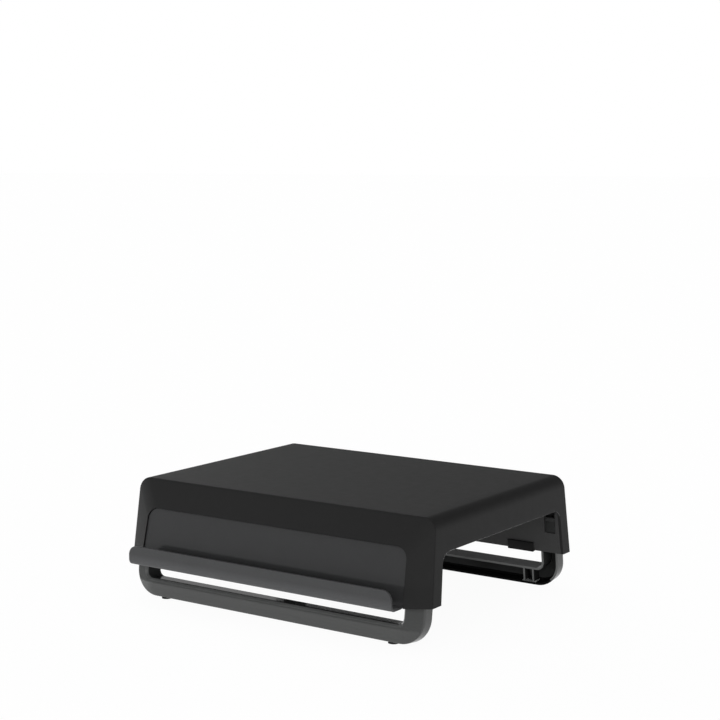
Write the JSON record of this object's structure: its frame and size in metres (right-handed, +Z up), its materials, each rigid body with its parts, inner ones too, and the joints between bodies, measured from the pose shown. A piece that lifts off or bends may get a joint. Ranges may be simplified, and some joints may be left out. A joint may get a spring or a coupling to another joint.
{
  "type": "monitor riser stand",
  "caption": "Monitor riser with a hollow arched top on sliding loop feet, a front tray for a phone or tablet, and room for a keyboard beneath.",
  "frame": {"origin": "on the desk, under the middle of the footprint", "axes": "+X to the right as one sits in front of it, +Y towards its back, +Z up"},
  "size_m": [0.38, 0.3288, 0.1256],
  "materials": {
    "shell": "fine moulded grain, near black",
    "tray": "fine moulded grain, dark grey",
    "foot": "fine moulded grain, mid grey",
    "lock": "smooth black",
    "guide": "black acetal",
    "pad": "soft black rubber",
    "screw": "zinc plated"
  },
  "bodies": {
    "platform": {"top_shell": "shell", "front_inner_cover": "shell", "rear_inner_cover": "shell", "device_tray": "tray", "front_left_guide": "guide", "front_right_guide": "guide", "rear_left_guide": "guide", "rear_right_guide": "guide", "tray_screws": "screw", "front_cover_screws": "screw", "rear_cover_screws": "screw", "guide_screws": "screw"},
    "front_foot": {"front_foot": "foot", "front_left_pad": "pad", "front_right_pad": "pad"},
    "rear_foot": {"rear_foot": "foot", "rear_left_pad": "pad", "rear_right_pad": "pad"},
    "front_left_lock": {"front_left_lock": "lock"},
    "front_right_lock": {"front_right_lock": "lock"},
    "rear_left_lock": {"rear_left_lock": "lock"},
    "rear_right_lock": {"rear_right_lock": "lock"}
  },
  "joints": [
    {"name": "front_foot_height", "type": "slide", "parent": "platform", "child": "front_foot", "axis": [0, 0.1253, 0.9921], "range_m": [0, 0.016]},
    {"name": "rear_foot_height", "type": "slide", "parent": "platform", "child": "rear_foot", "axis": [0, -0.1253, 0.9921], "range_m": [0, 0.016]},
    {"name": "front_left_lock_slide", "type": "slide", "parent": "platform", "child": "front_left_lock", "axis": [-1, 0, 0], "range_m": [0, 0.006]},
    {"name": "front_right_lock_slide", "type": "slide", "parent": "platform", "child": "front_right_lock", "axis": [1, 0, 0], "range_m": [0, 0.006]},
    {"name": "rear_left_lock_slide", "type": "slide", "parent": "platform", "child": "rear_left_lock", "axis": [-1, 0, 0], "range_m": [0, 0.006]},
    {"name": "rear_right_lock_slide", "type": "slide", "parent": "platform", "child": "rear_right_lock", "axis": [1, 0, 0], "range_m": [0, 0.006]}
  ]
}
